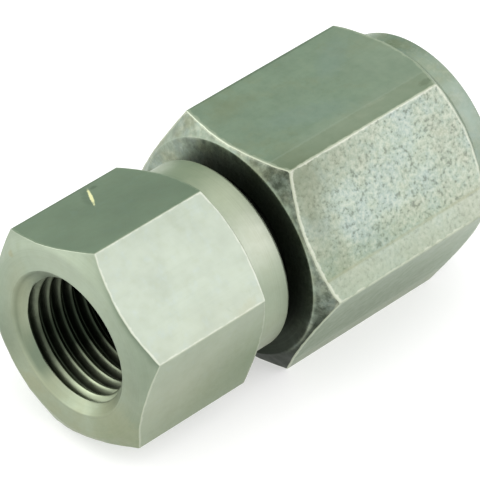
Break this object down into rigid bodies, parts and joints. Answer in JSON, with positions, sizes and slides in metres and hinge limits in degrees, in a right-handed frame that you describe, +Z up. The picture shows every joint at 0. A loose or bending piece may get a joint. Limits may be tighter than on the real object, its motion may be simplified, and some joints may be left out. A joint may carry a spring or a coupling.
{
  "type": "gauge adapter",
  "caption": "Hexagonal steel adapter with a female gauge port at one end and a swivelling union nut over a cone nose with an O-ring at the other.",
  "frame": {"origin": "centre of the underside of the fitting as it lies on one flat of the union nut", "axes": "+X along the common axis from the gauge port to the union nut, +Z up, square to the nut's flat"},
  "size_m": [0.0434, 0.0254, 0.022],
  "materials": {
    "body_steel": "satin zinc plate",
    "nut_steel": "satin zinc plate, grained flats",
    "wire_steel": "drawn bright",
    "seal_rubber": "matte"
  },
  "bodies": {
    "adapter": {"adapter_body": "body_steel", "seal_ring": "seal_rubber"},
    "wire": {"retaining_wire": "wire_steel"},
    "nut": {"swivel_nut": "nut_steel"}
  },
  "joints": [
    {"name": "nut_play", "type": "slide", "parent": "adapter", "child": "wire", "axis": [1, 0, 0], "range_m": [-0.0005, 0.0005]},
    {"name": "nut_swivel", "type": "hinge", "parent": "wire", "child": "nut", "pos_m": [0, 0, 0.011], "axis": [1, 0, 0], "continuous": true}
  ]
}
